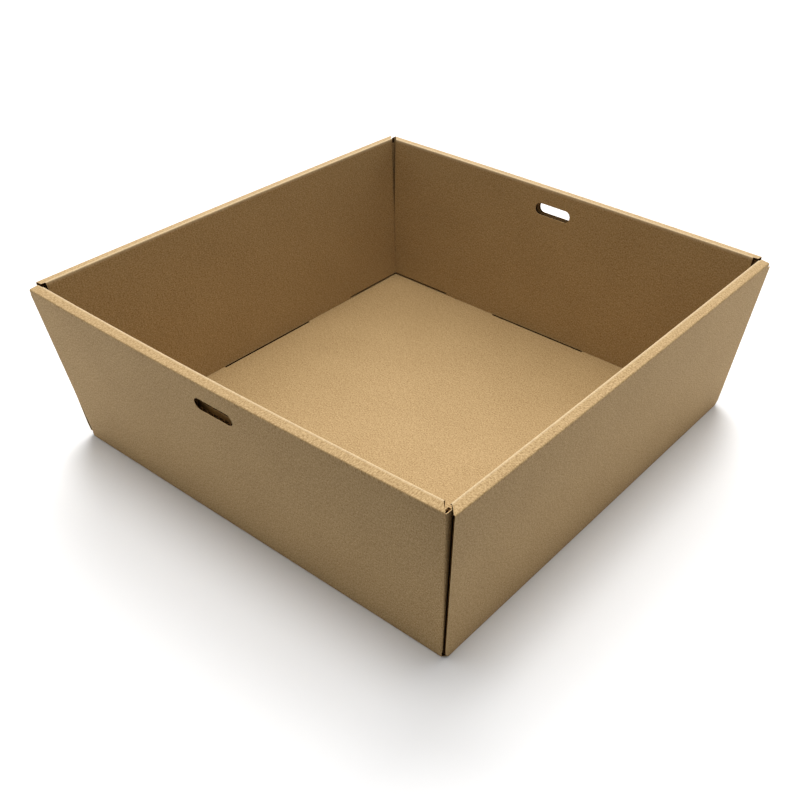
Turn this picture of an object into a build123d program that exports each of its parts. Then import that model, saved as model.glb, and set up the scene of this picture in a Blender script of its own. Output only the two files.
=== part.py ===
from build123d import *
import math
import os
from dataclasses import dataclass

# Square serving tray folded from one die-cut sheet of fine-flute kraft corrugated board.
# Its four walls lean outwards and are double: each outer panel rolls over a narrow flat rim
# and comes down again inside, where a tab locks it into a slot in the base. The front and
# back panels carry corner flaps, which bend round the corners and lie trapped between the
# two layers of the side walls. Millimetres and degrees, +Z up, the front wall faces -Y,
# origin under the middle of the base.

# Sheet
board = 1.6                 # thickness of the corrugated board
layer_gap = 0.2             # air between layers of board that lie on each other
crease_radius = 0.6         # outer radius of the base and rim creases
crease_root = 0.25          # inner radius of every crease

# Overall form
base_x = 225.0              # base, left to right, between the outer faces of its creases
base_y = 225.0              # base, front to back
wall_height = 84.4          # ground to the outer crease of the rim
wall_lean = 6.7             # lean of every wall from upright
front_bow = 2.6             # how far the middle of each rim springs outwards
right_bow = 0.8
back_bow = 1.1
left_bow = 1.1

# Corners
fold_radius_low = 0.8       # outer radius of the flap's bend at the base
fold_radius_high = 1.2      # and at the rim
fold_set_low = 0.0          # how far the bend sits back from the flap's own level, at the base
fold_set_high = 1.7         # and at the rim, which leaves a dark wedge beside the bend
fold_run = 3.6              # from the wall's face to where the flap starts to slant outwards
flap_settle = 5.8           # and to where it lies between the layers of the side wall
raw_inset_low = 0.2         # side panels' cut ends, back from the corner, at the base
raw_inset_high = 1.5        # and at the rim
long_end = 3.7              # rims, back from the corner, where they run on to the bend
short_end = 5.5             # where they stop against the neighbouring rim
mitre_end = 3.9             # front and back rims, outer crease, at a mitred corner
flapped_gap = 2.0           # front and back inner panels, clear of the corner at the rim
plain_gap = 0.7             # side inner panels, clear of the corner at the rim
foot_gap = 0.5              # all inner panels, clear of the corner at the base
collar_drop = 0.5           # top of the flap's bend at a mitred corner, below the crease
collar_depth = 3.4          # how far that top follows the bend round the corner
collar_slit = 0.3           # slit between that top and the end of the rim
tip_cut = 2.4               # tip missing from each bottom corner, along the base
tip_cut_rise = 3.2          # and up the corner

# Corner flaps
flap_length = 58.0
flap_foot = 4.5             # lower edge above the ground, at the bend
flap_foot_slope = 3.0       # degrees that the lower edge climbs towards the free end
flap_corner = 8.0           # radius on the free end's two corners

# Inner panels, tabs and base slots
shoulder_gap = 0.1          # under the shoulders beside each tab, which rest on the base
relief_rise = 0.6           # extra lift of the lower edge near the corners
relief_length = 40.0        # length of that lifted part
tab_width = 62.0
tab_ground_gap = 0.2        # end of the tab above the ground
tab_side_gap = 0.5          # each side of the tab in its slot
slot_inner_gap = 0.5        # slot open in front of the tab, towards the tray's middle
slot_outer_gap = 0.2        # slot open behind the tab

# Hand slots in the front and back walls
hand_slot_width = 22.4
hand_slot_height = 6.4
hand_slot_drop = 11.4       # its middle below the outer crease, measured down the wall

# Construction
leg = 1.0                   # straight board kept beside a crease before its panel starts
edge_margin = 0.1           # cuts across a rim keep this far from where its creases start
mitre_clearance = 0.3       # and a mitre this far along the rim from its inner panel's end
overcut = 5.0               # how far cutting shapes reach past what they cut

# Values worked out from the driving dimensions
lean = math.radians(wall_lean)
tan_lean = math.tan(lean)
cos_lean = math.cos(lean)
sin_lean = math.sin(lean)
rim_width = 3 * board + 2 * layer_gap           # outer panel, flap and inner panel
board_level = board / cos_lean                  # the same thicknesses, measured level
gap_level = layer_gap / cos_lean
rim_level = rim_width / cos_lean
bend_top = board + leg                          # where a base crease meets its outer panel
rim_foot = wall_height - board - leg            # where a rim meets both its panels
rim_crest = wall_height + rim_width * sin_lean  # the inner crease, the highest line
shoulder = board + shoulder_gap                 # lower edge of the inner panels
flap_depth = board_level + gap_level            # a flap's outer face inside the wall's
inner_depth = rim_level - board_level           # an inner panel's hidden face likewise


@dataclass
class Wall:
    """One wall, described as if it were the front one and then turned into place."""

    turn: float             # degrees about Z
    run: float              # half the base's length along this wall
    reach: float            # from the middle of the base out to this wall's crease
    bow: float
    flapped: bool           # carries corner flaps and a hand slot
    left_end: str           # how each end of its rim is cut: long, short or mitred
    right_end: str


front = Wall(0, base_x / 2, base_y / 2, front_bow, True, "long", "mitred")
right = Wall(90, base_y / 2, base_x / 2, right_bow, False, "mitred", "long")
back = Wall(180, base_x / 2, base_y / 2, back_bow, True, "short", "mitred")
left = Wall(270, base_y / 2, base_x / 2, left_bow, False, "mitred", "short")
walls = [front, right, back, left]

# A wall's cross-section is drawn with local x outwards and local y up
section_plane = Plane(origin=(0, 0, 0), x_dir=(0, -1, 0), z_dir=(-1, 0, 0))


def leaning(half_size, z):
    """Half the tray's outer size at height z, from half its size at the ground."""
    return half_size + z * tan_lean


def bow_radius(wall):
    """Radius of the wall's outer face, seen from above, where its rim begins."""
    half_chord = leaning(wall.run, rim_foot)
    return (half_chord**2 + wall.bow**2) / (2 * wall.bow)


def face_distance(wall, u, depth, z):
    """Distance out from the tray's middle to a face of the wall, u along it at height z.

    The face lies at the given level depth inside the outer one. Below the rim's foot only
    the straight lower ends of panels are asked for. From there up the wall is bowed.
    """
    if z < rim_foot:
        return leaning(wall.reach, z) - depth
    crown = leaning(wall.reach, z) + wall.bow - depth
    radius = bow_radius(wall) + (z - rim_foot) * tan_lean - depth
    return crown - radius + math.sqrt(radius**2 - u**2)


def face_point(wall, u, depth, z):
    """The same place as a point."""
    return (u, -face_distance(wall, u, depth, z), z)


def face_edge(wall, start, end, depth, z):
    """Level line along a face of the wall, from u = start to u = end."""
    points = [face_point(wall, u, depth, z) for u in (start, (start + end) / 2, end)]
    return Line(points[0], points[2]) if z < rim_foot else ThreePointArc(*points)


def closed_face(edges):
    """Flat face inside a closed run of edges."""
    return make_face(Wire(edges))


def band(wall, half_length, depth, z):
    """Level section of one panel of the wall. Its ends are cut square to the wall's bow."""
    far_depth = depth + board_level
    far_half = half_length
    if z >= rim_foot:
        far_half *= (bow_radius(wall) - far_depth) / (bow_radius(wall) - depth)
    near = [face_point(wall, u, depth, z) for u in (-half_length, half_length)]
    far = [face_point(wall, u, far_depth, z) for u in (-far_half, far_half)]
    return closed_face(
        [
            face_edge(wall, -half_length, half_length, depth, z),
            Line(near[1], far[1]),
            face_edge(wall, far_half, -far_half, far_depth, z),
            Line(far[0], near[0]),
        ]
    )


def quarter_bend(start, end, side):
    """Quarter circle from the wall, at start, round to the flap, at end.

    side is +1 for the wall's right end and -1 for its left end.
    """
    radius = abs(end[0] - start[0])
    reach = radius * math.sqrt(0.5)
    middle = (start[0] + side * reach, start[1] + radius - reach, start[2])
    return ThreePointArc(start, middle, end)


def flap_outline(wall, side, z):
    """Edges of one corner flap's level section, out to its free end and back."""
    neighbour = walls[(walls.index(wall) + side) % len(walls)]
    share = (z - bend_top) / (rim_foot - bend_top)
    radius = fold_radius_low + share * (fold_radius_high - fold_radius_low)
    outside = leaning(wall.run, z) - flap_depth
    inside = outside - board_level
    fold_set = fold_set_low + share * (fold_set_high - fold_set_low)
    fold_out, fold_in = outside - fold_set, inside - fold_set
    start = face_point(wall, side * (fold_out - radius), 0, z)
    bend_end = (side * fold_out, start[1] + radius, z)
    root = face_point(wall, side * (fold_in - crease_root), board_level, z)
    root_end = (side * fold_in, root[1] + crease_root, z)
    run_y = -leaning(wall.reach, z) + fold_run
    settle_y = -leaning(wall.reach, z) + flap_settle
    tip_y = -leaning(wall.reach, z) + flap_length + overcut
    tip_out = face_distance(neighbour, tip_y, flap_depth, z)
    tip_in = face_distance(neighbour, tip_y, flap_depth + board_level, z)
    corners = [
        bend_end, (side * fold_out, run_y, z), (side * outside, settle_y, z),
        (side * tip_out, tip_y, z), (side * tip_in, tip_y, z),
        (side * inside, settle_y, z), (side * fold_in, run_y, z), root_end,
    ]
    sides = [Line(*pair) for pair in zip(corners, corners[1:])]
    return [quarter_bend(start, bend_end, side)] + sides + [quarter_bend(root, root_end, side)]


def flapped_section(wall, z):
    """Level section of a front or back outer panel with both its flaps, one C of board."""
    right_edges = flap_outline(wall, 1, z)
    left_edges = flap_outline(wall, -1, z)
    right_start = right_edges[0].position_at(0).X
    right_root = right_edges[-1].position_at(0).X
    left_start = left_edges[0].position_at(0).X
    left_root = left_edges[-1].position_at(0).X
    outer = face_edge(wall, left_start, right_start, 0, z)
    inner = face_edge(wall, right_root, left_root, board_level, z)
    return closed_face([outer] + right_edges + [inner] + left_edges[::-1])


def trim_flaps(wall, panel):
    """Gives the flaps their sloping lower edge and the rounded corners of their free end."""
    root_y = board_level + crease_root - leaning(wall.reach, bend_top)
    foot_end = flap_foot + flap_length * math.tan(math.radians(flap_foot_slope))
    free_low = (flap_length - leaning(wall.reach, foot_end), foot_end)
    free_high = (flap_length - leaning(wall.reach, rim_foot), rim_foot)
    outline = Polygon(
        (root_y - overcut, flap_foot),
        free_low,
        free_high,
        (root_y - overcut, rim_foot),
        align=None,
    )
    outline = rounded(outline, [free_low, free_high], flap_corner)
    low, high = (root_y, 0), (free_high[0] + flap_length, rim_foot + overcut)
    field = Polygon(low, (high[0], low[1]), high, (low[0], high[1]), align=None)
    side_view = Plane(origin=(0, 0, 0), x_dir=(0, 1, 0), z_dir=(1, 0, 0))
    waste = side_view * (field - outline)
    return panel - extrude(waste, leaning(wall.run, rim_crest), both=True)


def rounded(sketch, points, radius):
    """Rounds the named corners of a flat outline."""
    corners = [sketch.vertices().sort_by_distance(Vector(*point))[0] for point in points]
    return fillet(corners, radius)


def outer_panel(wall):
    """Outer panel from its base crease up to its rim, with its flaps if it carries any."""
    levels = (bend_top, rim_foot)
    if wall.flapped:
        sections = [flapped_section(wall, z) for z in levels]
        return trim_flaps(wall, loft(sections, ruled=True))
    insets = (raw_inset_low, raw_inset_high)
    ends = [leaning(wall.run, z) - inset for z, inset in zip(levels, insets)]
    return loft([band(wall, end, 0, z) for end, z in zip(ends, levels)], ruled=True)


def base_crease(wall):
    """The bend that turns the base up into the outer panel, with a little board each side."""
    crease = (wall.reach, 0)
    root = (leaning(wall.reach, board) - board_level, board)
    top = leaning(wall.reach, bend_top)
    stub = wall.reach - board_level - 2 * leg
    outline = Polygon(
        (stub, 0), crease, (top, bend_top), (top - board_level, bend_top), root, (stub, board),
        align=None,
    )
    outline = rounded(outline, [crease], crease_radius)
    outline = rounded(outline, [root], crease_root)
    half_length = wall.run - (flap_depth if wall.flapped else raw_inset_low)
    return extrude(section_plane * outline, half_length, both=True)


def rim_outer_end(wall, side):
    """How far along the wall its rim's outer crease reaches."""
    cut_back = {
        "long": long_end,
        "short": short_end,
        "mitred": mitre_end if wall.flapped else raw_inset_high,
    }
    style = wall.right_end if side > 0 else wall.left_end
    return leaning(wall.run, rim_foot) - cut_back[style]


def rim_corners(wall):
    """Outer and inner crease of the rim in the wall's section, and its out and up directions."""
    foot = face_distance(wall, 0, 0, rim_foot)
    crease_out = Vector(foot + (wall_height - rim_foot) * tan_lean, wall_height)
    out = Vector(cos_lean, -sin_lean)
    up = Vector(sin_lean, cos_lean)
    return crease_out, crease_out - out * rim_width, out, up


def section(points):
    """Closed outline in a wall's section."""
    return Polygon(*[(point.X, point.Y) for point in points], align=None)


def rim_profile(wall):
    """Section of the rim: up the outer leg, over the flat strip and down the inner leg."""
    crease_out, crease_in, out, up = rim_corners(wall)
    root_out = crease_out - (out + up) * board
    root_in = crease_in + (out - up) * board
    outer_foot = Vector(face_distance(wall, 0, 0, rim_foot), rim_foot)
    inner_foot = outer_foot - Vector(rim_level, 0)
    thickness = Vector(board_level, 0)
    outer_leg = [outer_foot - thickness, outer_foot, crease_out]
    inner_leg = [crease_in, inner_foot, inner_foot + thickness]
    outline = section(outer_leg + inner_leg + [root_in, root_out])
    outline = rounded(outline, [crease_out, crease_in], crease_radius)
    return rounded(outline, [root_out, root_in], crease_root)


def beyond_inner_panel(wall):
    """Section of what is missing from a rim that runs on past the end of its inner panel."""
    crease_in, out, up = rim_corners(wall)[1:]
    edge = crease_in + out * (crease_radius + edge_margin)
    clear = crease_in + out * (board + crease_root + edge_margin)
    return section(
        [
            edge + up * overcut,
            edge - up * board,
            clear - up * board,
            clear - up * overcut,
            crease_in - (out + up) * overcut,
            crease_in - (out - up) * overcut,
        ]
    )


def turned_strip(wall, outline, start, end):
    """A section carried along the wall's bow between two angles about the bow's centre."""
    foot = face_distance(wall, 0, 0, rim_foot)
    bow_axis = Axis((0, bow_radius(wall) - foot, 0), (0, 0, 1))
    return revolve((section_plane * outline).rotate(bow_axis, start), bow_axis, end - start)


def rim(wall):
    """Flat strip with a crease along each side, following the bow, cut to its two ends."""
    inner_angle = panel_angle(wall)
    strip = turned_strip(wall, rim_profile(wall), -inner_angle, inner_angle)
    running_on = rim_profile(wall) - beyond_inner_panel(wall)
    for side, style in ((-1, wall.left_end), (1, wall.right_end)):
        start, end = sorted((side * inner_angle, side * crease_angle(wall, side)))
        extension = turned_strip(wall, running_on, start, end)
        if style == "mitred":
            extension -= mitre_waste(wall, side)
        strip += extension
    return strip


def panel_angle(wall):
    """Angle about the bow's centre, in degrees, at which the inner panel ends under the rim."""
    return math.degrees(math.asin(inner_end(wall, rim_foot) / (bow_radius(wall) - inner_depth)))


def crease_angle(wall, side):
    """Angle about the bow's centre, in degrees, at which the rim's outer crease ends."""
    return math.degrees(math.asin(rim_outer_end(wall, side) / bow_radius(wall)))


def mitre_waste(wall, side):
    """Wedge cut from the end of a rim, from its outer crease slantwise to its inner one."""
    crease_out, crease_in, out, up = rim_corners(wall)
    centre_y = bow_radius(wall) - face_distance(wall, 0, 0, rim_foot)
    strip_start = crease_out - out * (crease_radius + edge_margin)
    strip_end = crease_in + out * (crease_radius + edge_margin)
    clear_angle = panel_angle(wall) + math.degrees(mitre_clearance / bow_radius(wall))

    def plan_point(distance, angle):
        turn = math.radians(angle)
        radius = centre_y + distance
        return (side * radius * math.sin(turn), centre_y - radius * math.cos(turn))

    at_crease = plan_point(strip_start.X, crease_angle(wall, side))
    at_panel = plan_point(strip_end.X, clear_angle)
    outside = (2 * at_crease[0] - at_panel[0], 2 * at_crease[1] - at_panel[1])
    far_y = at_panel[1] + overcut
    outline = Polygon(outside, (outside[0], far_y), (at_panel[0], far_y), at_panel, align=None)
    return extrude(Pos(0, 0, wall_height) * outline, 2 * rim_width, both=True)


def inner_end(wall, z):
    """How far along the wall its inner panel reaches at height z, the same on both sides."""
    share = (z - shoulder) / (rim_foot - shoulder)
    top_gap = flapped_gap if wall.flapped else plain_gap
    return leaning(wall.run, z) - rim_level - (foot_gap + share * (top_gap - foot_gap))


def inner_panel(wall):
    """Inner panel hanging from the rim, with its tab and the lifted corners of its foot."""
    levels = (shoulder, rim_foot)
    panel = loft([band(wall, inner_end(wall, z), inner_depth, z) for z in levels], ruled=True)
    foot_end = inner_end(wall, shoulder)
    foot_y = -leaning(wall.reach, shoulder) + rim_level
    relief_top = shoulder + relief_rise
    relief_size = (relief_length + overcut, 2 * rim_level, relief_top)
    for side in (-1, 1):
        relief_x = side * (foot_end - relief_length + relief_size[0] / 2)
        panel -= Pos(relief_x, foot_y, relief_top / 2) * Box(*relief_size)
    levels = (tab_ground_gap, shoulder)
    return panel + loft([band(wall, tab_width / 2, inner_depth, z) for z in levels], ruled=True)


def base_slot(wall):
    """Slot through the base in which the inner panel's tab is locked."""
    near = leaning(wall.reach, board) - inner_depth + slot_outer_gap
    far = leaning(wall.reach, board) - rim_level - slot_inner_gap
    length = tab_width + 2 * tab_side_gap
    return Pos(0, -(near + far) / 2, board / 2) * Box(length, near - far, 2 * board)


def hand_slot(wall):
    """Round-ended hole square to the wall, through its outer and inner panels."""
    z = wall_height - hand_slot_drop * cos_lean
    share = (z - bend_top) / (rim_foot - bend_top)
    out = leaning(wall.reach, z) + share * wall.bow
    middle = Plane(origin=(0, -out, z), x_dir=(1, 0, 0), z_dir=(0, -cos_lean, -sin_lean))
    outline = middle * SlotOverall(hand_slot_width, hand_slot_height)
    return extrude(outline, 2 * rim_width, both=True)


def collar(wall):
    """Top of the flap's bend, left showing where the rim is cut away at a mitred corner."""
    sections = [flapped_section(wall, z) for z in (rim_foot, wall_height - collar_drop)]
    whole = loft(sections, ruled=True)
    size = (2 * leaning(wall.run, wall_height), collar_depth + overcut, 2 * (board + leg))
    outside_y = -leaning(wall.reach, wall_height) - overcut
    corner = Pos(0, outside_y + size[1] / 2, wall_height) * Box(*size)
    return whole & corner & (Pos(collar_slit, 0, 0) * mitre_waste(wall, 1))


def cut_tips(tray):
    """Takes the tips off the four bottom corners, where the creases run out."""
    for side_x in (-1, 1):
        for side_y in (-1, 1):
            corner = Vector(side_x * base_x / 2, side_y * base_y / 2, 0)
            along_x = corner - Vector(side_x * tip_cut, 0, 0)
            along_y = corner - Vector(0, side_y * tip_cut, 0)
            drift = tip_cut_rise * tan_lean
            up = corner + Vector(side_x * drift, side_y * drift, tip_cut_rise)
            normal = (along_x - up).cross(along_y - up)
            if normal.dot(corner - up) > 0:
                normal = -normal
            tray = split(tray, Plane(origin=up, z_dir=normal), keep=Keep.TOP)
    return tray


def folded_tray():
    """The whole folded sheet as one solid."""
    inset = 2 * (board_level + 2 * leg)
    tray = Pos(0, 0, board / 2) * Box(base_x - inset, base_y - inset, board)
    for wall in walls:
        turned = Rot(0, 0, wall.turn)
        tray += turned * base_crease(wall)
        tray -= turned * base_slot(wall)
        tray += [turned * outer_panel(wall), turned * rim(wall), turned * inner_panel(wall)]
        if wall.flapped:
            tray += turned * collar(wall)
            tray -= turned * hand_slot(wall)
    return cut_tips(tray)


os.makedirs("parts", exist_ok=True)
tray = folded_tray()
export_step(tray, "parts/folded_tray.step")
box = tray.bounding_box()
print(f"folded_tray: {len(tray.solids())} solid, {tray.volume / 1000:.1f} cubic centimetres")
print(f"size {box.size.X:.1f} x {box.size.Y:.1f} x {box.size.Z:.1f} mm")
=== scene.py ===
import math

import bmesh
import bpy
import numpy as np
from mathutils import Matrix, Vector


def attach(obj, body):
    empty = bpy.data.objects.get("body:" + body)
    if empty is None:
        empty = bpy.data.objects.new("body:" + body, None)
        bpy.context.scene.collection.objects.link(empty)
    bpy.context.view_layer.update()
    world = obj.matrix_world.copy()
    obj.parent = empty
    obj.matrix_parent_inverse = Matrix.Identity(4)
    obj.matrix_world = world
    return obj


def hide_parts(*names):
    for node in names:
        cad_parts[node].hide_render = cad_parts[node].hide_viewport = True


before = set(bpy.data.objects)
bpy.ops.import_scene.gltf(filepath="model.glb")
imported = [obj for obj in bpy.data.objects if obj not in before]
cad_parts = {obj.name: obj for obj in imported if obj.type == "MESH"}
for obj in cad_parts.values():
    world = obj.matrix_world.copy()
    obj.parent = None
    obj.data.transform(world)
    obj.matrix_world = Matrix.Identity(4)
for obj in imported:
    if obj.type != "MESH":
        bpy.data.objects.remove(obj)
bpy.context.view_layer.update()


# Base
# The base is the square middle of the one die-cut sheet that the whole tray is folded from.
# The sheet is fine-flute corrugated board: two kraft liners with a fluted medium glued
# between them. A slot along each side of the base takes the tab of the wall above it.

MM = 0.001                      # sizes below are in millimetres until the mesh is made
board = 1.6
half_base = 112.5               # middle of the base to the outer face of a side's crease
flat_middle = 104.0             # half the part of the base that has a grid of its own
slot_sides = (106.5, 109.26)    # long sides of a tab slot, out from the middle
slot_half_length = 31.5
tab_half_width = 31.0
relief_start = 66.96            # the inner panels' lower edge is lifted from here outwards
hand_slot_straight = 8.0        # half the straight part of a hand slot
hand_slot_radius = 3.2
step = 0.02                     # a sudden step in an outline takes this much of the sheet
column_limit = 100.0            # columns of points are at fixed places up to here

patches = []                    # every grid of points of the sheet, as it is folded
LINER, CUT = 0, 1               # the finish of a patch


def add_patch(points, flat, finish=LINER, keep=None):
    """Keeps a grid of points for the sheet's mesh, rows by columns by x, y and z.

    flat is each point's place on the unfolded sheet. On a cut edge it is the distance
    along the edge and the depth into the board. keep marks the cells that get a face.
    """
    rows, columns = points.shape[:2]
    if keep is None:
        keep = np.ones((rows - 1, columns - 1), bool)
    patches.append((points, np.broadcast_to(flat, (rows, columns, 2)), finish, keep))


def add_board(face, back, flat):
    """Both liners of a piece of the sheet, from their two matching grids of points."""
    add_patch(face, flat)
    add_patch(back[:, ::-1], flat[:, ::-1])


# painted shade: places out of the light are drawn in the colour of this dark point of a cut edge
painted_shade_place = np.array([0.0, 0.45])              # a point of a cut edge that is open and dark
# Depth of each line of a cut edge into the board, and how far the line is sunk where the
# cut runs along a flute and leaves it open. The raised line in the middle is the medium.
cut_depth = np.array([0, 0.20, 0.22, 0.68, 0.70, 0.90, 0.92, 1.38, 1.40, 1.6])
open_flute = np.array([0, 0, 2.2, 2.2, 0.4, 0.4, 2.2, 2.2, 0, 0])
fade_points = 2                 # points at each end of such a cut that are sunk less


def add_cut(face_line, back_line, into=None):
    """A raw cut edge between a line of points on one liner and its match on the other.

    Each point goes straight from liner to liner, by its share of the board's depth. Where
    the cut runs along a flute, the points are also sunk by the flute's profile in the
    direction into, fading out over the first and last few points of the line.
    """
    share = (cut_depth / board)[None, :, None]
    points = face_line[:, None] * (1 - share) + back_line[:, None] * share
    steps = np.linalg.norm(np.diff(face_line, axis=0), axis=1)
    along = np.concatenate([[0], np.cumsum(steps)])
    if into is not None:
        count = np.arange(len(face_line))
        fade = np.clip(np.minimum(count, count[::-1]) / fade_points, 0, 1)
        points = points + fade[:, None, None] * open_flute[None, :, None] * into
        along = 0 * along
    flat = np.stack(np.broadcast_arrays(along[:, None], cut_depth[None, :]), -1)
    add_patch(points, flat, finish=CUT)


# Columns of points, out from a panel's middle. They are close together at the round end of
# a hand slot, and stand in pairs where an outline has a sudden step.
slot_arc = hand_slot_straight + hand_slot_radius * np.sin(np.linspace(0, math.pi / 2, 9))
half_columns = np.concatenate(
    [
        [2.7, 5.4], slot_arc,
        [12.6, 15, 18.5, 22, 25.5, 29, tab_half_width, tab_half_width + step],
        [slot_half_length, 36, 41, 46, 51, 56, 61.5, relief_start, relief_start + step],
        [72, 77, 82, 87, 92, 96, column_limit],
    ]
)
columns = np.concatenate([-half_columns[::-1], [0], half_columns])
end_shares = np.array([0.35, 0.65, 0.9, 1.0])   # of the way from column_limit to a row's end


def spread(left_end, right_end):
    """Columns of points between two ends, one pair of ends for each row.

    Up to column_limit the columns are at fixed places. The last few share out the rest.
    """
    left = column_limit + (np.atleast_1d(left_end) - column_limit)[:, None] * end_shares[::-1]
    right = column_limit + (np.atleast_1d(right_end) - column_limit)[:, None] * end_shares
    middle = np.broadcast_to(columns, (len(left), len(columns)))
    return np.concatenate([-left, middle, right], axis=1)


def columns_within(reach):
    """Numbers of the columns that lie within reach of a panel's middle, to either side."""
    return np.flatnonzero(np.abs(columns) <= reach) + len(end_shares)


across = spread(flat_middle, flat_middle)[0]
flat_x, flat_y = np.meshgrid(across, across)
flat_place = np.stack([flat_x, flat_y], -1)
base_top = np.stack([flat_x, flat_y, np.full_like(flat_x, board)], -1)
base_underside = np.stack([flat_x, flat_y, np.zeros_like(flat_x)], -1)
add_board(base_top, base_underside, flat_place)


# Walls
# Each wall is one strip of the same sheet, creased up from the base and over a narrow flat
# rim. Its tab sits in the base inside. Two opposite corners of the rim are mitred, and at
# the others one rim runs on past the other. The front and back walls have a hand slot.

wall_height = 84.4              # ground to the outer crease of the rim
wall_lean = math.radians(6.7)
layer_gap = 0.2
crease_radius = 0.6             # outer radius of the creases
crease_root = 0.25              # their inner radius
rim_width = 3 * board + 2 * layer_gap
hand_slot_drop = 11.4           # middle of a hand slot, down the wall from the outer crease
hand_slot_blend = 8.0           # rows of points are moved aside this far from that middle
shift_rows = 1.5                # where the slot is cut off centre, rows shift with it this
shift_columns = 30.0            # many blends away, and columns this far from the middle
shift_fade = 18.0               # with the shift fading out over the last columns
shoulder = 1.7                  # lower edge of the inner panels, beside the tab
relief = 1.1                    # lift of that edge towards the corners
# painted shade: from here outwards the base under the lifted edge is drawn dark
painted_shade_start = 107.3               # the dark gap under it starts here, out from the middle
tab_end = 0.2                   # end of the tab above the ground
tab_bend = 0.7                  # it is pushed in by this, and so covers its slot
flap_foot_level = 2.6           # the flaps and the straight part of a wall start here
rim_foot = 81.8                 # the rim's own ends start here
tip_cut = 2.4                   # tip missing from each bottom corner, along the base
tip_cut_rise = 3.2              # and up the corner
flap_join = 6.0                 # the flaps' own grids start this far from the corner
raw_inset = (0.2, 1.35)         # side panels' cut ends, back from the corner, low and high
inner_gap_low = (0.15, -0.4)    # inner panels from the corner: side walls, flapped walls

tan_lean, cos_lean, sin_lean = (f(wall_lean) for f in (math.tan, math.cos, math.sin))
board_level = board / cos_lean                  # the same thicknesses, measured level
rim_level = rim_width / cos_lean
flap_depth = board_level + layer_gap / cos_lean
up = np.array([sin_lean, cos_lean])             # up a wall, as distance out and height
out = np.array([cos_lean, -sin_lean])           # square to it
crease_low = np.array([half_base, 0.0])
crease_out = crease_low + up * wall_height / cos_lean
crease_in = crease_out - out * rim_width
root_low = np.array([half_base + board * tan_lean - board_level, board])
root_out = crease_out - (out + up) * board
root_in = crease_in + (out - up) * board
slope = wall_height / cos_lean                  # length of the outer panel up the wall
foot_drop = (crease_in[1] - shoulder) / cos_lean
rim_corner = half_base + rim_foot * tan_lean    # from the middle out to a corner of the rim


def crease(corner, before, after, radius, steps=7):
    """A crease's section: a round arc tangent to the directions before and after it."""
    turn = math.acos(float(before @ after))
    side = after - before * (before @ after)
    side = side / np.linalg.norm(side)
    centre = corner - before * radius * math.tan(turn / 2) + side * radius
    angle = np.linspace(0, turn, steps)[:, None]
    return centre + radius * (before * np.sin(angle) - side * np.cos(angle))


# Rows of points down a wall, as distances from the rim's crease. The two rows at the middle
# of the hand slot lie on each other except inside it, where they part into its two lips.
rim_drop = (wall_height - rim_foot) / cos_lean
first_drop = 1.7                # the first row below either crease of the rim
plain_drop, plain_rows = 22.0, 15               # rows are evenly spaced from here down
last_rise = 1.2                 # the last of them stands this far above the panel's edge
lip_gap = 1e-6                  # half the distance between those two rows
near_slot = hand_slot_drop + np.array([hand_slot_blend, 6.2, 4.6, 3.2, 2.1, 1.1, lip_gap])
outer_rows = np.concatenate(
    [
        np.linspace(slope - flap_foot_level / cos_lean, plain_drop, plain_rows), near_slot,
        2 * hand_slot_drop - near_slot[::-1], [rim_drop + step],
    ]
)
leg_rows = np.array([rim_drop, first_drop])
inner_rows = np.concatenate(
    [
        [first_drop], 2 * hand_slot_drop - near_slot, near_slot[::-1],
        np.linspace(plain_drop, foot_drop - last_rise, plain_rows),
    ]
)
# rows of the base out to its crease, which starts a little further out underneath
base_row_end, hidden_base_end = 110.2, 110.7
# painted shade starts at the middle one of these rows, under the lifted edge
SLOT_IN, SHADE_ROW, SLOT_OUT = 1, 2, 3                # a tab slot's long sides and the dark gap
base_rows = np.array([flat_middle, slot_sides[0], painted_shade_start, slot_sides[1], base_row_end])
rim_shares = np.array([0.04, 0.35, 0.65, 0.96])[:, None]    # of the way across the rim strip
ahead = np.array([1.0, 0.0])

low_bend = [
    crease(crease_low, ahead, up, crease_radius), crease(root_low, ahead, up, crease_root),
]
outer_bend = [
    crease(crease_out, up, -out, crease_radius), crease(root_out, up, -out, crease_root),
]
inner_bend = [
    crease(crease_in, -out, -up, crease_radius), crease(root_in, -out, -up, crease_root),
]
tip_start = np.array([[half_base - tip_cut / 2, 0.0]])
root_start = np.array([[hidden_base_end, board]])


def profile(side):
    """Stretches of a wall's section, for the visible liner (0) or the hidden one (1)."""
    base_z = side * board
    inward = out * board * side
    low, outer, inner = low_bend[side], outer_bend[side], inner_bend[side]
    return [
        np.stack([base_rows, np.full(len(base_rows), base_z)], -1),
        (tip_start, root_start)[side],
        low,
        crease_out - up * (outer_rows[:1, None] + step) - inward,
        crease_out - up * outer_rows[:, None] - inward,
        crease_out - up * leg_rows[:, None] - inward,
        outer,
        outer[-1] * (1 - rim_shares) + inner[0] * rim_shares,
        inner,
        crease_in - up * inner_rows[:, None] + inward,
        crease_in - up * (foot_drop - step - side * board * tan_lean) + inward * np.ones((1, 1)),
        crease_in - up * (foot_drop - side * board * tan_lean) + inward * np.ones((1, 1)),
    ]


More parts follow.
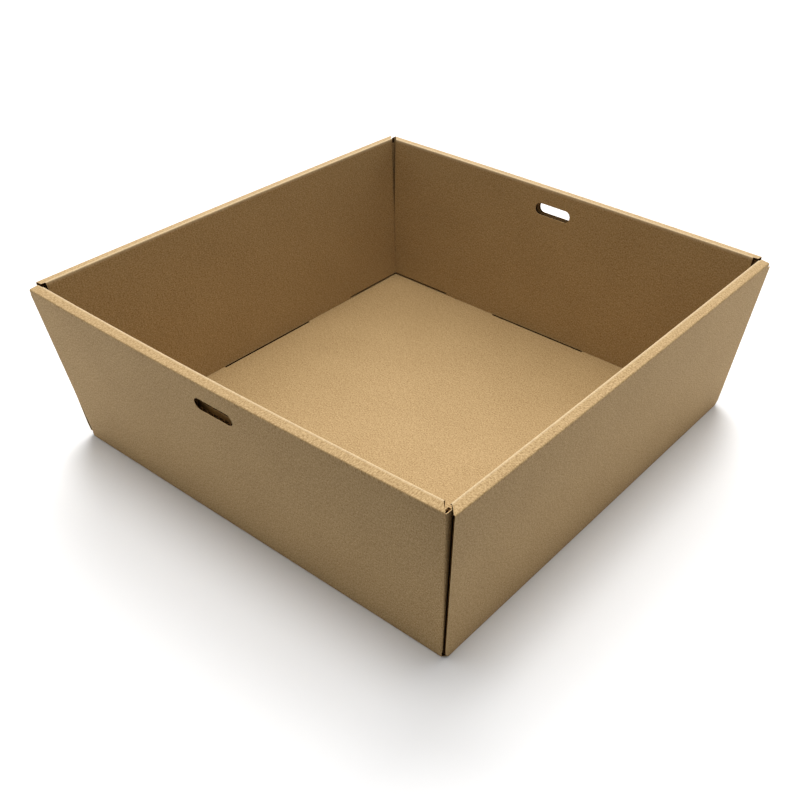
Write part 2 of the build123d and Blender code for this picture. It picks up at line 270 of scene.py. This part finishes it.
stretches = profile(0)
face_rows = np.concatenate(stretches)
back_rows = np.concatenate(profile(1))
stretch = np.repeat(np.arange(len(stretches)), [len(part) for part in stretches])
(BASE, TIP, LOW_BEND, LOW_EDGE, OUTER, LEG, OUTER_BEND, STRIP, INNER_BEND, INNER, SHOULDER,
 FOOT) = range(12)
middle_rows = (face_rows + back_rows) / 2
sheet_distance = flat_middle + np.concatenate(
    [[0], np.cumsum(np.linalg.norm(np.diff(middle_rows, axis=0), axis=1))]
)
drop = np.full(len(stretch), 1e3)               # so far down that no hand slot moves a row
drop[stretch == OUTER] = outer_rows
drop[stretch == INNER] = inner_rows
below_middle = (drop > hand_slot_drop) & (drop < hand_slot_drop + step)
slot_row = {part: np.flatnonzero(below_middle & (stretch == part))[0] for part in (OUTER, INNER)}
first_flap_row, last_flap_row = np.flatnonzero(stretch == OUTER)[[0, -1]]
tip_row = np.flatnonzero(stretch == TIP)[0]

# For each wall: how far the rim's middle springs out and how far its two ends do, how each
# end of the rim is cut and how far back from the corner its outer crease ends, the gap from
# its inner panel to the corner at the rim, how far a mitred rim runs on past that panel, and
# how far aside and down the hand slot is cut.
walls = {
    "front": dict(
        turn=0, flapped=True, bow=1.8, ends_out=(1.9, -0.3), ends=("long", "mitred"),
        rim_ends=(3.7, 3.5), inner_gap=2.2, overhang=0.0, slot_moved=(1.3, 0.9)),
    "right": dict(
        turn=90, flapped=False, bow=0.25, ends_out=(0.1, 1.0), ends=("mitred", "long"),
        rim_ends=(1.35, 3.7), inner_gap=0.7, overhang=0.9),
    "back": dict(
        turn=180, flapped=True, bow=1.1, ends_out=(0.0, 0.0), ends=("short", "mitred"),
        rim_ends=(4.6, 3.5), inner_gap=2.0, overhang=0.0, slot_moved=(1.2, 0.8)),
    "left": dict(
        turn=270, flapped=False, bow=1.1, ends_out=(0.0, 0.0), ends=("mitred", "short"),
        rim_ends=(1.35, 3.7), inner_gap=0.7, overhang=0.3),
}


def height_share(z):
    """How far up a wall a height is, evenly from 0 at the flaps' foot to 1 at the rim."""
    return (z - flap_foot_level) / (rim_foot - flap_foot_level)


def row_ends(wall, right):
    """How far each row of a wall reaches towards one corner, for each of its two liners.

    Every zone of the wall has its own end: the base runs to the diagonal, the outer panel to
    the corner or to its cut end, the rim to its cut or mitre, and the inner panel to a gap
    that opens evenly from half height up to the rim.
    """
    distance, z = face_rows.T
    corner = half_base + z * tan_lean
    style = wall["ends"][right]
    rise = height_share(z)
    climb = (z - shoulder) / (rim_foot - shoulder)
    opening = wall["inner_gap"] * (2 * climb - 1)
    inner_gap = np.maximum(inner_gap_low[wall["flapped"]], opening)
    inner = corner - rim_level - inner_gap
    tip_slope = 2 * tan_lean + tip_cut / tip_cut_rise
    tip = 2 * half_base - tip_cut + tip_slope * z - distance
    if wall["flapped"]:
        panel = corner - flap_join
        low = np.minimum(tip, half_base - flap_depth)
    else:
        panel = np.minimum(tip, corner - raw_inset[0] - rise * (raw_inset[1] - raw_inset[0]))
        low = panel
    rim = rim_corner - wall["rim_ends"][right]
    inner_top = inner[stretch == INNER_BEND][0] + wall["overhang"] * (style == "mitred")
    strip = np.full(len(z), rim)
    if style == "mitred":
        slant = np.linspace(0, 1, len(rim_shares))
        strip[stretch == STRIP] = rim + slant * (inner_top - rim)
    zones = [
        (BASE, distance), (TIP, distance), (LOW_BEND, low), (LOW_EDGE, low), (OUTER, panel),
        (LEG, np.full(len(z), rim)), (OUTER_BEND, np.full(len(z), rim)), (STRIP, strip),
        (INNER_BEND, np.full(len(z), inner_top)), (INNER, inner), (SHOULDER, inner), (FOOT, inner),
    ]
    face_end = np.select([stretch == zone for zone, _ in zones], [end for _, end in zones])
    back_end = np.where(stretch <= TIP, back_rows[:, 0], face_end)
    return face_end, back_end


def bow_offset(wall, u, z):
    """How far a wall springs outwards, growing evenly from its foot up to the rim.

    Along the wall it is a parabola, added to a straight line between its two ends.
    """
    along = u / rim_corner
    rise = np.clip(height_share(z), 0, 1)
    left_out, right_out = wall["ends_out"]
    line = (left_out * (1 - along) + right_out * (1 + along)) / 2
    return rise * (wall["bow"] * (1 - along**2) + line)


def slot_opening(u):
    """Half the height of the hand slot at u along the wall: straight, then a quarter circle."""
    beyond = np.clip((np.abs(u) - hand_slot_straight) / hand_slot_radius, 0, 1)
    return hand_slot_radius * np.sqrt(1 - beyond**2)


def wall_points(wall, rows, u):
    """Points of one liner of a wall, as distance along it, distance out and height.

    Each row's section point is repeated along u. Rows near the hand slot slide down or up
    the wall by its opening, less the further they are from it, and shift with the slot. The
    last row drops to the tab's end, pushed in, or lifts to the relief. The bow comes last.
    """
    distance = np.broadcast_to(rows[:, :1], u.shape)
    z = np.broadcast_to(rows[:, 1:], u.shape)
    if wall["flapped"]:
        away = drop - hand_slot_drop
        share = np.sign(away) * np.clip(1 - np.abs(away) / hand_slot_blend, 0, 1)
        near = np.clip(shift_rows - np.abs(away) / hand_slot_blend, 0, 1)[:, None]
        near = near * np.clip((shift_columns - np.abs(u)) / shift_fade, 0, 1)
        aside, down = wall["slot_moved"]
        slide = share[:, None] * slot_opening(u) + near * down
        distance, z = distance - up[0] * slide, z - up[1] * slide
        u = u + near * aside
    tab = (np.abs(u) <= tab_half_width + step / 2) * (stretch == FOOT)[:, None]
    lifted = (np.abs(u) > relief_start + step / 2) * (stretch >= SHOULDER)[:, None]
    foot = tab * (tab_end - shoulder) + lifted * relief
    distance, z = distance + foot * tan_lean - tab * tab_bend, z + foot
    return np.stack([u, distance + bow_offset(wall, u, z), z], -1)


def turned(points, turn):
    """Points given as along, out and height, put where the wall stands."""
    along, outwards, z = np.moveaxis(points, -1, 0)
    c, s = round(math.cos(math.radians(turn))), round(math.sin(math.radians(turn)))
    return np.stack([c * along + s * outwards, s * along - c * outwards, z], -1)


slot_columns = columns_within(slot_half_length)
tab_columns = columns_within(tab_half_width)
lip_columns = columns_within(slot_arc[-1])
for wall in walls.values():
    ends = [row_ends(wall, right) for right in (0, 1)]
    along_face = spread(ends[0][0], ends[1][0])
    along_back = spread(ends[0][1], ends[1][1])
    face = turned(wall_points(wall, face_rows, along_face), wall["turn"])
    back = turned(wall_points(wall, back_rows, along_back), wall["turn"])
    out_flat = np.broadcast_to(sheet_distance[:, None], along_face.shape)
    flat = turned(np.stack([along_face, out_flat, out_flat], -1), wall["turn"])[..., :2]
    # no faces where the two slots are
    keep = np.ones((len(face) - 1, face.shape[1] - 1), bool)
    keep[SLOT_IN:SLOT_OUT, slot_columns[:-1]] = False
    keep[slot_row[OUTER]] = False
    keep[slot_row[INNER] - 1] = False
    # painted shade: inside its slot a tab is out of the light, and so is the base under the lifted
    # edge, so both are drawn in the near-black of an open flute
    keep[-1, tab_columns[:-1]] = False
    lifted = np.abs(along_face[SHADE_ROW, :-1] + along_face[SHADE_ROW, 1:]) / 2 > relief_start + step
    add_patch(face[SHADE_ROW : SLOT_OUT + 1], painted_shade_place, CUT, (keep[SHADE_ROW] & lifted)[None])
    face_keep = keep.copy()
    face_keep[SHADE_ROW] &= ~lifted
    add_patch(face, flat, keep=face_keep)
    add_patch(back[:, ::-1], flat[:, ::-1], keep=keep[:, ::-1])
    # painted shade on the tab's two faces inside its slot
    add_patch(face[-2:, tab_columns], painted_shade_place, CUT)
    add_patch(back[-2:, tab_columns[::-1]], painted_shade_place, CUT)
    # cut edges of the tab slot, the hand slot, the panel's foot and its two ends
    for row in (SLOT_IN, SLOT_OUT):
        add_cut(face[row, slot_columns], back[row, slot_columns])
    for column in slot_columns[[0, -1]]:
        add_cut(face[SLOT_IN : SLOT_OUT + 1, column], back[SLOT_IN : SLOT_OUT + 1, column])
    if wall["flapped"]:
        for row in (slot_row[OUTER], slot_row[OUTER] + 1, slot_row[INNER] - 1, slot_row[INNER]):
            add_cut(face[row, lip_columns], back[row, lip_columns])
    add_cut(face[-1], back[-1])
    for column, side in ((0, -1), (-1, 1)):
        along = turned(np.array([-side, 0.0, 0.0]), wall["turn"])
        if wall["flapped"]:
            add_cut(face[tip_row : first_flap_row + 1, column],
                    back[tip_row : first_flap_row + 1, column])
            add_cut(face[last_flap_row:, column], back[last_flap_row:, column])
        else:
            add_cut(face[tip_row:, column], back[tip_row:, column], into=along)


# Corner flaps
# The front and back walls each carry two flaps of the same sheet. They bend round the
# corners and lie trapped between the two layers of the side walls, which holds the corners
# shut without glue. Where a rim is mitred, the top of the bend shows as a small collar.

flap_length = 58.0
flap_foot = 4.5                 # lower edge above the ground, at the bend
flap_foot_slope = math.radians(3.0)
flap_step, flap_step_run = 1.0, 0.6             # the lower edge steps up to it over this run
flap_corner = 8.0               # radius on the free end's two corners
fold_radius = (0.8, 0.4)        # of the bend's visible liner, at the base and at the rim
fold_set = (0.0, 1.15)          # the bend sits back from the flap's own level, likewise
fold_run = 3.6                  # from the wall's face to where the flap slants outwards
flap_settle = 5.8               # and to where it lies between the side wall's two layers
collar_depth = 3.4              # how far the collar follows the bend round the corner
collar_top, collar_rows = 84.3, 4
collar_tip = 1                  # column of the flap's grid where the mitre crosses the bend
collar_end = 9                  # and where the collar ends
face_turns = np.radians([0, 14, 28, 42, 56, 67.3, 78.7, 90])    # points round the bend
back_turns = np.radians([0, 30, 60, 90])        # likewise, on the hidden liner
back_depths = np.array([2.2, 2.5, 2.8, 3.1])    # the mitre meets the hidden liner, and on
plain_share = 0.84              # of the flap's length, before its rounded corners
rounded = np.sin(np.linspace(0, math.pi / 2, 8))[1:]
flap_shares = np.concatenate(
    [np.linspace(0, plain_share, 9)[1:], plain_share + (1 - plain_share) * rounded])


def flap_path(z, z_back, wall, neighbour, side):
    """The flap's level path at each height, for the visible liner and the hidden one.

    It runs straight along the wall, round a quarter circle, a little way on beside the
    neighbouring wall's cut end, slants out to lie between that wall's two layers and then
    runs straight, with the wall's bow. Both liners have matching points.
    """
    join = half_base + z[:, None] * tan_lean - flap_join
    lines = []
    for height, depth in ((z, 0.0), (z_back, board_level)):
        corner = half_base + height[:, None] * tan_lean
        rise = height_share(height[:, None])
        settled = corner - flap_depth - depth
        fold = settled - fold_set[0] - rise * (fold_set[1] - fold_set[0])
        turns, radius, depths = back_turns, crease_root, back_depths
        if depth == 0:
            radius = fold_radius[0] + rise * (fold_radius[1] - fold_radius[0])
            turns, depths = face_turns, np.array([])
        straight = np.concatenate([depths, [collar_depth, fold_run]])
        u = np.concatenate(
            [
                join, fold - radius * (1 - np.sin(turns)),
                np.repeat(fold, len(straight), axis=1),
                np.repeat(settled, 1 + len(flap_shares), axis=1),
            ], axis=1)
        settle, tip = corner - flap_settle, corner - flap_length
        outwards = np.concatenate(
            [
                corner - depth, corner - depth - radius * (1 - np.cos(turns)),
                corner - straight, settle, settle + flap_shares * (tip - settle),
            ], axis=1)
        level = np.broadcast_to(height[:, None], u.shape)
        bowed_out = outwards + bow_offset(wall, side * u, level)
        beside = bow_offset(neighbour, -side * outwards, level)
        bowed_u = u + beside * (outwards < settle + step)
        lines.append(np.stack([bowed_u, bowed_out, level], -1))
    return lines


def flap_heights(z, path):
    """Height of each row of the flap at each length along its path.

    The rows share out the height between the lower edge, which steps up after the bend and
    then climbs, and the upper edge. Both close in on a quarter circle at the free end.
    """
    beyond = np.clip((path - (flap_length - flap_corner)) / flap_corner, 0, 1)
    rounding = flap_corner * (1 - np.sqrt(1 - beyond**2))
    stepped = np.clip((path - flap_step) / flap_step_run, 0, 1)
    low = z[0] + stepped * (flap_foot - z[0]) + path * math.tan(flap_foot_slope) + rounding
    high = z[-1] - rounding
    share = ((z - z[0]) / (z[-1] - z[0]))[:, None]
    return low + share * (high - low)


names = list(walls)
flap_rows = slice(first_flap_row, last_flap_row + 1)
flap_depths = np.concatenate(
    [np.zeros(len(back_turns) + 2), back_depths[1:], [collar_depth, fold_run],
     flap_settle + np.concatenate([[0], flap_shares]) * (flap_length - flap_settle)])
for index, name in enumerate(names):
    wall = walls[name]
    if not wall["flapped"]:
        continue
    for side in (-1, 1):
        neighbour = walls[names[(index + side) % 4]]
        z, z_back = face_rows[flap_rows, 1], back_rows[flap_rows, 1]
        face, back = flap_path(z, z_back, wall, neighbour, side)
        # a level path higher up the leaning corner is further out by the lean
        lift = flap_heights(z, flap_depths) - z[:, None]
        for line in (face, back):
            line[..., 2] += lift
            line[:, collar_tip:, 0] += lift[:, collar_tip:] * tan_lean
            line[..., 1] += lift * tan_lean
        collar_z = np.linspace(z[-1], collar_top, collar_rows)
        collar = flap_path(collar_z, collar_z + z_back[-1] - z[-1], wall, neighbour, side)
        steps = np.linalg.norm(np.diff(face[len(face) // 2, :, :2], axis=0), axis=1)
        path = rim_corner - flap_join + np.concatenate([[0], np.cumsum(steps)])
        rows_out = np.broadcast_to(sheet_distance[flap_rows][:, None], face.shape[:2])
        flat = np.stack([np.broadcast_to(path * side, rows_out.shape), rows_out, rows_out], -1)
        flat = turned(flat, wall["turn"])[..., :2]
        mirror = np.array([side, 1, 1])
        face, back = (turned(line * mirror, wall["turn"]) for line in (face, back))
        add_board(face, back, flat)
        add_cut(face[0], back[0])
        add_cut(face[:, -1], back[:, -1])
        if wall["ends"][side > 0] != "mitred":
            add_cut(face[-1], back[-1])
            continue
        add_cut(face[-1, : collar_tip + 1], back[-1, : collar_tip + 1])
        add_cut(face[-1, collar_end:], back[-1, collar_end:])
        shown = slice(collar_tip, collar_end + 1)
        face, back = (turned(line[:, shown] * mirror, wall["turn"]) for line in collar)
        add_board(face, back, np.broadcast_to(flat[-1:, shown], face.shape[:2] + (2,)))
        add_cut(face[:, 0], back[:, 0])
        add_cut(face[-1], back[-1])
        add_cut(face[:, -1], back[:, -1])


# Kraft liner and cut edges
# Brown kraft liner is unbleached wood-pulp paper, pressed matt. It gives the eye a warm tan
# with a fine mottle of fibres, a little longer across the flutes, and a paler line along each
# rim's inner crease: partly stretched fibres, partly a painted highlight. A cut edge shows the
# two liners as pale lines and the wavy medium between them. Its open flutes and its far liner
# are painted dark as shade.

mottle_scale, fibre_scale, cloud_scale = 1.7, 0.45, 0.035   # marks of 0.6, 2 and 30 mm
mottle_share, fibre_share, cloud_share = 1.15, 0.18, 0.08   # of each in the liner's shade
grain_squeeze = 0.7             # marks are longer across the flutes by one over this
dark_kraft, dark_level = "#866839", 0.545       # the liner's colours, and where in the sum
pale_kraft, pale_level = "#b59869", 0.865       # of the marks each is reached
# the inner creases' paler line: partly stretched fibres, partly a painted highlight
stretched_and_highlight_kraft, stretched_and_highlight_share = "#d2bd98", 0.45
stretched_and_highlight_reach = 0.9                # half the width of the paler line along the inner crease
bump_strength, bump_depth = 0.25, 0.06 * MM     # fibres stand up by hundredths of a mm
kraft_roughness, kraft_ior, kraft_specular = 0.82, 1.45, 0.7    # nearly matt, a faint sheen
flute_pitch = 3.3               # of E-flute
flute_swing = 0.5               # the medium's wave, each way from the board's middle
medium_half = 0.1               # half the medium's thickness, as drawn: real paper is thinner
liner_line = 0.201              # the liners reach this deep
near_liner, far_liner = "#cfae80", "#3d2c1a"    # the far liner is in the shade of the cut
# the open flutes' near-black is painted shade inside their channels
medium_kraft, flute_opening_shade = "#6b4c2a", "#1a0e05"
edge_roughness, edge_specular = 0.9, 0.0        # torn fibres have no gloss


def linear(colour):
    """An sRGB hex colour as the linear colour that Blender's shaders take."""
    value = np.array([int(colour[i : i + 2], 16) for i in (1, 3, 5)]) / 255
    value = np.where(value <= 0.04045, value / 12.92, ((value + 0.055) / 1.055) ** 2.4)
    return (*value.tolist(), 1.0)


def add_node(material, kind, inputs=(), **settings):
    """Adds a shader node, with its settings, and fills or links its inputs by name."""
    node = material.node_tree.nodes.new(kind)
    for name, value in settings.items():
        setattr(node, name, value)
    for name, value in dict(inputs).items():
        if isinstance(value, bpy.types.NodeSocket):
            material.node_tree.links.new(value, node.inputs[name])
        else:
            node.inputs[name].default_value = value
    return node


def new_material(name):
    """An empty node material and its Principled shader."""
    material = bpy.data.materials.new(name)
    material.use_nodes = True
    shader = material.node_tree.nodes["Principled BSDF"]
    return material, shader


kraft, kraft_shader = new_material("kraft_liner")
place = add_node(kraft, "ShaderNodeUVMap", uv_map="sheet").outputs["UV"]
# the map is in millimetres, so a noise scale of 1 has grains of about a millimetre
stretched = add_node(
    kraft, "ShaderNodeMapping",
    {"Vector": place, "Scale": (1.0, grain_squeeze, 1.0)}).outputs["Vector"]
mottle = add_node(
    kraft, "ShaderNodeTexNoise",
    {"Vector": stretched, "Scale": mottle_scale, "Detail": 3.0,
     "Roughness": 0.7}).outputs["Fac"]
fibres = add_node(
    kraft, "ShaderNodeTexNoise",
    {"Vector": stretched, "Scale": fibre_scale, "Detail": 5.0,
     "Roughness": 0.6}).outputs["Fac"]
clouds = add_node(
    kraft, "ShaderNodeTexNoise",
    {"Vector": place, "Scale": cloud_scale, "Detail": 2.0}).outputs["Fac"]
fine = add_node(
    kraft, "ShaderNodeMath", {0: mottle, 1: mottle_share}, operation="MULTIPLY").outputs[0]
coarse = add_node(
    kraft, "ShaderNodeMath", {0: fibres, 1: fibre_share, 2: fine},
    operation="MULTIPLY_ADD").outputs[0]
shade = add_node(
    kraft, "ShaderNodeMath", {0: clouds, 1: cloud_share, 2: coarse},
    operation="MULTIPLY_ADD").outputs[0]
tone = add_node(kraft, "ShaderNodeValToRGB", {"Fac": shade})
ramp = tone.color_ramp
ramp.elements[0].position, ramp.elements[0].color = dark_level, linear(dark_kraft)
ramp.elements[1].position, ramp.elements[1].color = pale_level, linear(pale_kraft)
# the liner is stretched over the rim's inner crease and shows paler fibres there; on top of
# that, a painted highlight lightens the same line where the crease catches the light
stretched_and_highlight_middle = float(sheet_distance[stretch == INNER_BEND].mean())
flat_parts = add_node(kraft, "ShaderNodeSeparateXYZ", {"Vector": place})
from_middle_x, from_middle_y = [
    add_node(
        kraft, "ShaderNodeMath", {0: flat_parts.outputs[name]}, operation="ABSOLUTE").outputs[0]
    for name in ("X", "Y")]
distance_out = add_node(
    kraft, "ShaderNodeMath", {0: from_middle_x, 1: from_middle_y}, operation="MAXIMUM").outputs[0]
from_crease = add_node(
    kraft, "ShaderNodeMath", {0: distance_out, 1: stretched_and_highlight_middle}, operation="SUBTRACT").outputs[0]
from_crease = add_node(
    kraft, "ShaderNodeMath", {0: from_crease}, operation="ABSOLUTE").outputs[0]
stretched_and_highlight = add_node(
    kraft, "ShaderNodeMapRange",
    {"Value": from_crease, "From Min": stretched_and_highlight_reach / 3, "From Max": stretched_and_highlight_reach,
     "To Min": stretched_and_highlight_share, "To Max": 0.0}).outputs["Result"]
liner_colour = add_node(
    kraft, "ShaderNodeMix",
    {"Factor": stretched_and_highlight, "A": tone.outputs["Color"], "B": linear(stretched_and_highlight_kraft)},
    data_type="RGBA").outputs["Result"]
kraft.node_tree.links.new(liner_colour, kraft_shader.inputs["Base Color"])
bump = add_node(
    kraft, "ShaderNodeBump",
    {"Height": coarse, "Strength": bump_strength, "Distance": bump_depth})
kraft.node_tree.links.new(bump.outputs["Normal"], kraft_shader.inputs["Normal"])
kraft_shader.inputs["Roughness"].default_value = kraft_roughness
kraft_shader.inputs["IOR"].default_value = kraft_ior
kraft_shader.inputs["Specular IOR Level"].default_value = kraft_specular

# the cut-edge material also lends its open flutes' near-black as painted shade to places out of
# the light
edge, edge_shader = new_material("cut_edge_and_painted_shade")
# here the map's X is the distance along the cut, and its Y the depth into the board
place = add_node(edge, "ShaderNodeUVMap", uv_map="sheet").outputs["UV"]
parts = add_node(edge, "ShaderNodeSeparateXYZ", {"Vector": place})
phase = add_node(
    edge, "ShaderNodeMath", {0: parts.outputs["X"], 1: 2 * math.pi / flute_pitch},
    operation="MULTIPLY").outputs[0]
wave = add_node(edge, "ShaderNodeMath", {0: phase}, operation="SINE").outputs[0]
centre = add_node(
    edge, "ShaderNodeMath", {0: wave, 1: flute_swing, 2: board / 2},
    operation="MULTIPLY_ADD").outputs[0]
from_medium = add_node(
    edge, "ShaderNodeMath", {0: parts.outputs["Y"], 1: centre}, operation="SUBTRACT").outputs[0]
from_medium = add_node(
    edge, "ShaderNodeMath", {0: from_medium}, operation="ABSOLUTE").outputs[0]
open_part = add_node(
    edge, "ShaderNodeMath", {0: from_medium, 1: medium_half},
    operation="GREATER_THAN").outputs[0]
from_middle = add_node(
    edge, "ShaderNodeMath", {0: parts.outputs["Y"], 1: board / 2},
    operation="SUBTRACT").outputs[0]
from_middle = add_node(
    edge, "ShaderNodeMath", {0: from_middle}, operation="ABSOLUTE").outputs[0]
inside = add_node(
    edge, "ShaderNodeMath", {0: from_middle, 1: board / 2 - liner_line},
    operation="LESS_THAN").outputs[0]
# painted shade: the open flutes between the medium and the liners take the near-black
dark = add_node(
    edge, "ShaderNodeMath", {0: open_part, 1: inside}, operation="MULTIPLY").outputs[0]
back_half = add_node(
    edge, "ShaderNodeMath", {0: parts.outputs["Y"], 1: board / 2},
    operation="GREATER_THAN").outputs[0]
liner_tone = add_node(
    edge, "ShaderNodeMix",
    {"Factor": back_half, "A": linear(near_liner), "B": linear(far_liner)},
    data_type="RGBA").outputs["Result"]
medium_tone = add_node(
    edge, "ShaderNodeMix", {"Factor": inside, "A": liner_tone, "B": linear(medium_kraft)},
    data_type="RGBA").outputs["Result"]
edge_tone = add_node(
    edge, "ShaderNodeMix", {"Factor": dark, "A": medium_tone, "B": linear(flute_opening_shade)},
    data_type="RGBA").outputs["Result"]
edge.node_tree.links.new(edge_tone, edge_shader.inputs["Base Color"])
edge_shader.inputs["Roughness"].default_value = edge_roughness
edge_shader.inputs["Specular IOR Level"].default_value = edge_specular


# The folded sheet
# All the panels above are one sheet, so their grids become one closed mesh. The points that
# they share along the creases, slots and cut edges are joined.

weld_distance = 1e-6
sharp_angle = math.radians(35)


def grid_faces(shape, start, keep):
    """Four-cornered faces of a grid whose points are stored row by row from start.

    Each kept cell takes its own corner, the next in its row, and those two of the next row.
    """
    number = start + np.arange(shape[0] * shape[1]).reshape(shape[:2])
    cells = np.stack([number[:-1, :-1], number[:-1, 1:], number[1:, 1:], number[1:, :-1]], -1)
    return cells[keep]


starts = np.cumsum([0] + [points.shape[0] * points.shape[1] for points, *_ in patches])
faces = [grid_faces(p.shape, start, keep) for (p, _, _, keep), start in zip(patches, starts)]
points = np.concatenate([p.reshape(-1, 3) for p, *_ in patches]) * MM
flat = np.concatenate([f.reshape(-1, 2) for _, f, *_ in patches])
finish = np.concatenate(
    [np.full(len(part), patch[2]) for part, patch in zip(faces, patches)])
faces = np.concatenate(faces)

mesh = bpy.data.meshes.new("folded_sheet")
mesh.from_pydata(points.tolist(), [], faces.tolist())
mesh.uv_layers.new(name="sheet").data.foreach_set("uv", flat[faces.ravel()].ravel())
mesh.polygons.foreach_set("material_index", finish.astype(np.int32))
mesh.materials.append(kraft)
mesh.materials.append(edge)
joined = bmesh.new()
joined.from_mesh(mesh)
bmesh.ops.remove_doubles(joined, verts=joined.verts, dist=weld_distance)
bmesh.ops.recalc_face_normals(joined, faces=joined.faces)
joined.to_mesh(mesh)
joined.free()
mesh.shade_smooth()
mesh.set_sharp_from_angle(angle=sharp_angle)
folded_sheet = bpy.data.objects.new("folded_sheet", mesh)
bpy.context.scene.collection.objects.link(folded_sheet)
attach(folded_sheet, "root")
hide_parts("folded_tray")


# Floor and light
# The tray stands on a sheet of matt white paper that ends a little in front of its near
# corner, so the walls that face the camera get little light from below. A bright ceiling
# and two wide windows beyond the tray light it softly, with a weak panel at each side.

towards_camera = Vector((0.609, -0.793, 0.0))   # level directions, as the photograph sees them
picture_right = Vector((0.793, 0.609, 0.0))
paper_reach, paper_size = 0.275, 4.0            # from the tray's middle, and its half width
paper_white, paper_roughness, paper_specular = "#ebebeb", 0.9, 0.1
# each wide light's name, strength, tilt from upright towards the back and width, in degrees
wide_lights = (
    ("overhead", 2.2, 0, 30), ("high_window", 2.4, 42, 45),
    ("fill", 0.75, 0, 180), ("low_window", 1.2, 70, 50),
)
panels = (("left_panel", -1, 0.10), ("right_panel", 1, 0.25))   # side and power
panel_distance, panel_height, panel_size = 0.6, 0.3, (0.4, 0.3)

floor_mesh = bpy.data.meshes.new("floor")
near_edge = [
    towards_camera * paper_reach + picture_right * side for side in (-paper_size, paper_size)]
far_edge = [corner - towards_camera * 2 * paper_size for corner in near_edge[::-1]]
floor_mesh.from_pydata([tuple(corner) for corner in near_edge + far_edge], [], [(0, 1, 2, 3)])
floor = bpy.data.objects.new("floor", floor_mesh)
bpy.context.scene.collection.objects.link(floor)
white, white_shader = new_material("white_paper")
white_shader.inputs["Base Color"].default_value = linear(paper_white)
white_shader.inputs["Roughness"].default_value = paper_roughness
white_shader.inputs["Specular IOR Level"].default_value = paper_specular
floor_mesh.materials.append(white)

# the white surroundings show and are mirrored, but light nothing: the lights below do that
world = bpy.data.worlds.new("studio")
bpy.context.scene.world = world
world.use_nodes = True
background = world.node_tree.nodes["Background"]
background.inputs["Color"].default_value = linear("#ffffff")
background.inputs["Strength"].default_value = 1.0
world.cycles_visibility.diffuse = False


def add_light(name, kind, energy, from_tray, **settings):
    """A light that shines at the tray from the given direction or place, in metres."""
    data = bpy.data.lights.new(name, kind)
    data.energy = energy
    for setting, value in settings.items():
        setattr(data, setting, value)
    light = bpy.data.objects.new(name, data)
    light.location = from_tray
    light.rotation_euler = from_tray.to_track_quat("Z", "Y").to_euler()
    light.visible_camera = False
    bpy.context.scene.collection.objects.link(light)


def raised(level_direction, degrees):
    """A direction tilted up from level_direction until it is degrees away from upright."""
    angle = math.radians(degrees)
    return level_direction * math.sin(angle) + Vector((0, 0, math.cos(angle)))


for name, strength, tilt, width in wide_lights:
    add_light(name, "SUN", strength, raised(-towards_camera, tilt), angle=math.radians(width))
for name, side, power in panels:
    add_light(
        name, "AREA", power, picture_right * side * panel_distance + Vector((0, 0, panel_height)),
        shape="RECTANGLE", size=panel_size[0], size_y=panel_size[1])


# Camera
# Where the photograph was taken from, worked out from the tray's own edges: about 0.58 m
# away, a third of the way up, with the picture cut a little off the lens's middle.

camera_azimuth, camera_elevation, camera_roll = map(math.radians, (37.522, 33.704, 1.592))
camera_distance = 580.256 * MM
aim = Vector((-4.402 * MM, 47.601 * MM, 0.0))
image_size = 800
focal_pixels = 1073.458
lens_middle = (465.486, 375.964)

back_vector = Vector((math.sin(camera_azimuth) * math.cos(camera_elevation),
                      -math.cos(camera_azimuth) * math.cos(camera_elevation),
                      math.sin(camera_elevation)))
level = Vector((math.cos(camera_azimuth), math.sin(camera_azimuth), 0.0))
upright = back_vector.cross(level)
right_vector = math.cos(camera_roll) * level + math.sin(camera_roll) * upright
up_vector = -math.sin(camera_roll) * level + math.cos(camera_roll) * upright
camera_data = bpy.data.cameras.new("camera")
camera_data.sensor_width = 36.0
camera_data.lens = camera_data.sensor_width * focal_pixels / image_size
camera_data.shift_x = (image_size / 2 - lens_middle[0]) / image_size
camera_data.shift_y = (lens_middle[1] - image_size / 2) / image_size
camera_data.clip_start = 0.01
camera = bpy.data.objects.new("camera", camera_data)
turn = Matrix((right_vector, up_vector, back_vector)).transposed()
camera.matrix_world = Matrix.Translation(aim + back_vector * camera_distance) @ turn.to_4x4()
bpy.context.scene.collection.objects.link(camera)
bpy.context.scene.camera = camera
# colours are shown as they are, with no film-like curve
bpy.context.scene.view_settings.view_transform = "Standard"
